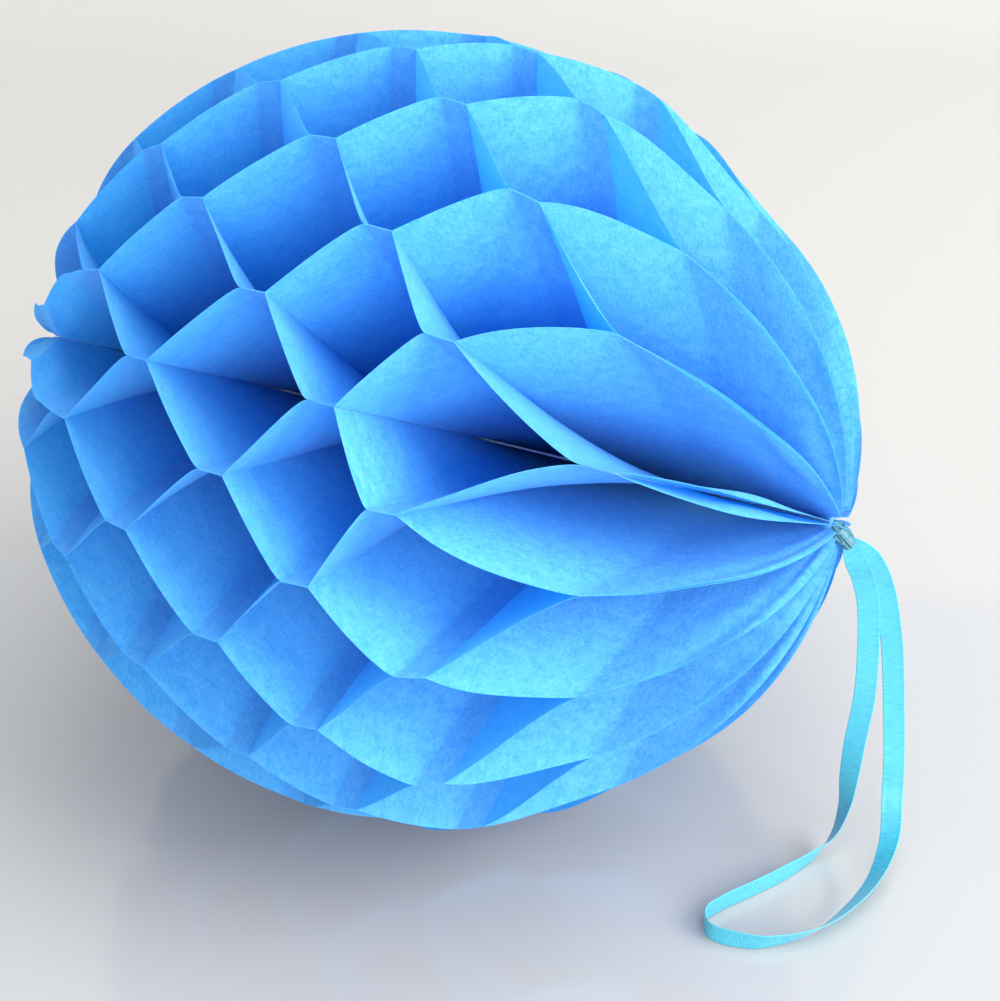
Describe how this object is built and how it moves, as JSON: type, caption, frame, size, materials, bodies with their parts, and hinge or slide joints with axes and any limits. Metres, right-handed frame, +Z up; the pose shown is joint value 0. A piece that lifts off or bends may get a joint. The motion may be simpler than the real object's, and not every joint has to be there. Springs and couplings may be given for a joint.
{
  "type": "paper honeycomb ball",
  "caption": "Round tissue honeycomb ball: half-disc leaves bound along one spine, opened into diamond cells, with a satin ribbon loop at one pole; folds shut about the spine.",
  "frame": {"origin": "on the floor directly under the middle of the spine, where the lowest leaf touches", "axes": "+X along the spine towards the pole with the ribbon, +Z up from the floor, seam on the -Y side"},
  "size_m": [0.2833, 0.2409, 0.2371],
  "materials": {
    "blue_tissue": "matt tissue paper, slightly see-through",
    "white_card": "matt white card",
    "white_tape": "satin double-sided tape",
    "cotton_cord": "twisted cotton",
    "knot_thread": "wound thread",
    "ribbon_satin": "satin ribbon"
  },
  "bodies": {
    "spine_and_first_leaf": {"leaf_01": "blue_tissue", "spine_card_fixed": "white_card", "seam_tape_1": "white_tape", "seam_tape_2": "white_tape", "seam_tape_3": "white_tape", "seam_tape_4": "white_tape", "binding_cord": "cotton_cord", "pole_knot_ribbon_end": "knot_thread", "pole_knot_far_end": "knot_thread", "ribbon_knot": "ribbon_satin", "ribbon_loop": "ribbon_satin"},
    "leaf_02_body": {"leaf_02": "blue_tissue"},
    "leaf_03_body": {"leaf_03": "blue_tissue"},
    "leaf_04_body": {"leaf_04": "blue_tissue"},
    "leaf_05_body": {"leaf_05": "blue_tissue"},
    "leaf_06_body": {"leaf_06": "blue_tissue"},
    "leaf_07_body": {"leaf_07": "blue_tissue"},
    "leaf_08_body": {"leaf_08": "blue_tissue"},
    "leaf_09_body": {"leaf_09": "blue_tissue"},
    "leaf_10_body": {"leaf_10": "blue_tissue"},
    "leaf_11_body": {"leaf_11": "blue_tissue"},
    "leaf_12_body": {"leaf_12": "blue_tissue"},
    "leaf_13_body": {"leaf_13": "blue_tissue"},
    "leaf_14_body": {"leaf_14": "blue_tissue"},
    "leaf_15_body": {"leaf_15": "blue_tissue"},
    "leaf_16_body": {"leaf_16": "blue_tissue"},
    "leaf_17_body": {"leaf_17": "blue_tissue"},
    "leaf_18_body": {"leaf_18": "blue_tissue"},
    "leaf_19_body": {"leaf_19": "blue_tissue"},
    "leaf_20_body": {"leaf_20": "blue_tissue"},
    "leaf_21_body": {"leaf_21": "blue_tissue"},
    "leaf_22_body": {"leaf_22": "blue_tissue"},
    "leaf_23_body": {"leaf_23": "blue_tissue"},
    "leaf_24_body": {"leaf_24": "blue_tissue"},
    "leaf_25_body": {"leaf_25": "blue_tissue"},
    "leaf_26_body": {"leaf_26": "blue_tissue"},
    "leaf_27_body": {"leaf_27": "blue_tissue"},
    "leaf_28_body": {"leaf_28": "blue_tissue"},
    "leaf_29_body": {"leaf_29": "blue_tissue"},
    "leaf_30_body": {"leaf_30": "blue_tissue"},
    "leaf_31_body": {"leaf_31": "blue_tissue"},
    "last_leaf": {"leaf_32": "blue_tissue", "spine_card_moving": "white_card"}
  },
  "joints": [
    {"name": "fan_fold", "type": "hinge", "parent": "spine_and_first_leaf", "child": "last_leaf", "pos_m": [0, 0, 0.11736], "axis": [1, 0, 0], "range_deg": [-344, 0], "deforming": ["leaf_01", "leaf_32"]},
    {"name": "fan_02", "type": "hinge", "parent": "spine_and_first_leaf", "child": "leaf_02_body", "pos_m": [0, 0, 0.11736], "axis": [1, 0, 0], "range_deg": [-11.6, 0.5], "deforming": ["leaf_02"]},
    {"name": "fan_03", "type": "hinge", "parent": "spine_and_first_leaf", "child": "leaf_03_body", "pos_m": [0, 0, 0.11736], "axis": [1, 0, 0], "range_deg": [-22.69, 0.5], "deforming": ["leaf_03"]},
    {"name": "fan_04", "type": "hinge", "parent": "spine_and_first_leaf", "child": "leaf_04_body", "pos_m": [0, 0, 0.11736], "axis": [1, 0, 0], "range_deg": [-33.79, 0.5], "deforming": ["leaf_04"]},
    {"name": "fan_05", "type": "hinge", "parent": "spine_and_first_leaf", "child": "leaf_05_body", "pos_m": [0, 0, 0.11736], "axis": [1, 0, 0], "range_deg": [-44.89, 0.5], "deforming": ["leaf_05"]},
    {"name": "fan_06", "type": "hinge", "parent": "spine_and_first_leaf", "child": "leaf_06_body", "pos_m": [0, 0, 0.11736], "axis": [1, 0, 0], "range_deg": [-55.98, 0.5], "deforming": ["leaf_06"]},
    {"name": "fan_07", "type": "hinge", "parent": "spine_and_first_leaf", "child": "leaf_07_body", "pos_m": [0, 0, 0.11736], "axis": [1, 0, 0], "range_deg": [-67.08, 0.5], "deforming": ["leaf_07"]},
    {"name": "fan_08", "type": "hinge", "parent": "spine_and_first_leaf", "child": "leaf_08_body", "pos_m": [0, 0, 0.11736], "axis": [1, 0, 0], "range_deg": [-78.18, 0.5], "deforming": ["leaf_08"]},
    {"name": "fan_09", "type": "hinge", "parent": "spine_and_first_leaf", "child": "leaf_09_body", "pos_m": [0, 0, 0.11736], "axis": [1, 0, 0], "range_deg": [-89.27, 0.5], "deforming": ["leaf_09"]},
    {"name": "fan_10", "type": "hinge", "parent": "spine_and_first_leaf", "child": "leaf_10_body", "pos_m": [0, 0, 0.11736], "axis": [1, 0, 0], "range_deg": [-100.37, 0.5], "deforming": ["leaf_10"]},
    {"name": "fan_11", "type": "hinge", "parent": "spine_and_first_leaf", "child": "leaf_11_body", "pos_m": [0, 0, 0.11736], "axis": [1, 0, 0], "range_deg": [-111.47, 0.5], "deforming": ["leaf_11"]},
    {"name": "fan_12", "type": "hinge", "parent": "spine_and_first_leaf", "child": "leaf_12_body", "pos_m": [0, 0, 0.11736], "axis": [1, 0, 0], "range_deg": [-122.56, 0.5], "deforming": ["leaf_12"]},
    {"name": "fan_13", "type": "hinge", "parent": "spine_and_first_leaf", "child": "leaf_13_body", "pos_m": [0, 0, 0.11736], "axis": [1, 0, 0], "range_deg": [-133.66, 0.5], "deforming": ["leaf_13"]},
    {"name": "fan_14", "type": "hinge", "parent": "spine_and_first_leaf", "child": "leaf_14_body", "pos_m": [0, 0, 0.11736], "axis": [1, 0, 0], "range_deg": [-144.76, 0.5], "deforming": ["leaf_14"]},
    {"name": "fan_15", "type": "hinge", "parent": "spine_and_first_leaf", "child": "leaf_15_body", "pos_m": [0, 0, 0.11736], "axis": [1, 0, 0], "range_deg": [-155.85, 0.5], "deforming": ["leaf_15"]},
    {"name": "fan_16", "type": "hinge", "parent": "spine_and_first_leaf", "child": "leaf_16_body", "pos_m": [0, 0, 0.11736], "axis": [1, 0, 0], "range_deg": [-166.95, 0.5], "deforming": ["leaf_16"]},
    {"name": "fan_17", "type": "hinge", "parent": "spine_and_first_leaf", "child": "leaf_17_body", "pos_m": [0, 0, 0.11736], "axis": [1, 0, 0], "range_deg": [-178.05, 0.5], "deforming": ["leaf_17"]},
    {"name": "fan_18", "type": "hinge", "parent": "spine_and_first_leaf", "child": "leaf_18_body", "pos_m": [0, 0, 0.11736], "axis": [1, 0, 0], "range_deg": [-189.15, 0.5], "deforming": ["leaf_18"]},
    {"name": "fan_19", "type": "hinge", "parent": "spine_and_first_leaf", "child": "leaf_19_body", "pos_m": [0, 0, 0.11736], "axis": [1, 0, 0], "range_deg": [-200.24, 0.5], "deforming": ["leaf_19"]},
    {"name": "fan_20", "type": "hinge", "parent": "spine_and_first_leaf", "child": "leaf_20_body", "pos_m": [0, 0, 0.11736], "axis": [1, 0, 0], "range_deg": [-211.34, 0.5], "deforming": ["leaf_20"]},
    {"name": "fan_21", "type": "hinge", "parent": "spine_and_first_leaf", "child": "leaf_21_body", "pos_m": [0, 0, 0.11736], "axis": [1, 0, 0], "range_deg": [-222.44, 0.5], "deforming": ["leaf_21"]},
    {"name": "fan_22", "type": "hinge", "parent": "spine_and_first_leaf", "child": "leaf_22_body", "pos_m": [0, 0, 0.11736], "axis": [1, 0, 0], "range_deg": [-233.53, 0.5], "deforming": ["leaf_22"]},
    {"name": "fan_23", "type": "hinge", "parent": "spine_and_first_leaf", "child": "leaf_23_body", "pos_m": [0, 0, 0.11736], "axis": [1, 0, 0], "range_deg": [-244.63, 0.5], "deforming": ["leaf_23"]},
    {"name": "fan_24", "type": "hinge", "parent": "spine_and_first_leaf", "child": "leaf_24_body", "pos_m": [0, 0, 0.11736], "axis": [1, 0, 0], "range_deg": [-255.73, 0.5], "deforming": ["leaf_24"]},
    {"name": "fan_25", "type": "hinge", "parent": "spine_and_first_leaf", "child": "leaf_25_body", "pos_m": [0, 0, 0.11736], "axis": [1, 0, 0], "range_deg": [-266.82, 0.5], "deforming": ["leaf_25"]},
    {"name": "fan_26", "type": "hinge", "parent": "spine_and_first_leaf", "child": "leaf_26_body", "pos_m": [0, 0, 0.11736], "axis": [1, 0, 0], "range_deg": [-277.92, 0.5], "deforming": ["leaf_26"]},
    {"name": "fan_27", "type": "hinge", "parent": "spine_and_first_leaf", "child": "leaf_27_body", "pos_m": [0, 0, 0.11736], "axis": [1, 0, 0], "range_deg": [-289.02, 0.5], "deforming": ["leaf_27"]},
    {"name": "fan_28", "type": "hinge", "parent": "spine_and_first_leaf", "child": "leaf_28_body", "pos_m": [0, 0, 0.11736], "axis": [1, 0, 0], "range_deg": [-300.11, 0.5], "deforming": ["leaf_28"]},
    {"name": "fan_29", "type": "hinge", "parent": "spine_and_first_leaf", "child": "leaf_29_body", "pos_m": [0, 0, 0.11736], "axis": [1, 0, 0], "range_deg": [-311.21, 0.5], "deforming": ["leaf_29"]},
    {"name": "fan_30", "type": "hinge", "parent": "spine_and_first_leaf", "child": "leaf_30_body", "pos_m": [0, 0, 0.11736], "axis": [1, 0, 0], "range_deg": [-322.31, 0.5], "deforming": ["leaf_30"]},
    {"name": "fan_31", "type": "hinge", "parent": "spine_and_first_leaf", "child": "leaf_31_body", "pos_m": [0, 0, 0.11736], "axis": [1, 0, 0], "range_deg": [-333.4, 0.5], "deforming": ["leaf_31"]}
  ],
  "couplings": [
    {"joint": "fan_02", "follows": "fan_fold", "ratio": 0.032258},
    {"joint": "fan_03", "follows": "fan_fold", "ratio": 0.064516},
    {"joint": "fan_04", "follows": "fan_fold", "ratio": 0.096774},
    {"joint": "fan_05", "follows": "fan_fold", "ratio": 0.12903},
    {"joint": "fan_06", "follows": "fan_fold", "ratio": 0.16129},
    {"joint": "fan_07", "follows": "fan_fold", "ratio": 0.19355},
    {"joint": "fan_08", "follows": "fan_fold", "ratio": 0.22581},
    {"joint": "fan_09", "follows": "fan_fold", "ratio": 0.25806},
    {"joint": "fan_10", "follows": "fan_fold", "ratio": 0.29032},
    {"joint": "fan_11", "follows": "fan_fold", "ratio": 0.32258},
    {"joint": "fan_12", "follows": "fan_fold", "ratio": 0.35484},
    {"joint": "fan_13", "follows": "fan_fold", "ratio": 0.3871},
    {"joint": "fan_14", "follows": "fan_fold", "ratio": 0.41935},
    {"joint": "fan_15", "follows": "fan_fold", "ratio": 0.45161},
    {"joint": "fan_16", "follows": "fan_fold", "ratio": 0.48387},
    {"joint": "fan_17", "follows": "fan_fold", "ratio": 0.51613},
    {"joint": "fan_18", "follows": "fan_fold", "ratio": 0.54839},
    {"joint": "fan_19", "follows": "fan_fold", "ratio": 0.58064},
    {"joint": "fan_20", "follows": "fan_fold", "ratio": 0.6129},
    {"joint": "fan_21", "follows": "fan_fold", "ratio": 0.64516},
    {"joint": "fan_22", "follows": "fan_fold", "ratio": 0.67742},
    {"joint": "fan_23", "follows": "fan_fold", "ratio": 0.70968},
    {"joint": "fan_24", "follows": "fan_fold", "ratio": 0.74194},
    {"joint": "fan_25", "follows": "fan_fold", "ratio": 0.77419},
    {"joint": "fan_26", "follows": "fan_fold", "ratio": 0.80645},
    {"joint": "fan_27", "follows": "fan_fold", "ratio": 0.83871},
    {"joint": "fan_28", "follows": "fan_fold", "ratio": 0.87097},
    {"joint": "fan_29", "follows": "fan_fold", "ratio": 0.90323},
    {"joint": "fan_30", "follows": "fan_fold", "ratio": 0.93548},
    {"joint": "fan_31", "follows": "fan_fold", "ratio": 0.96774}
  ]
}
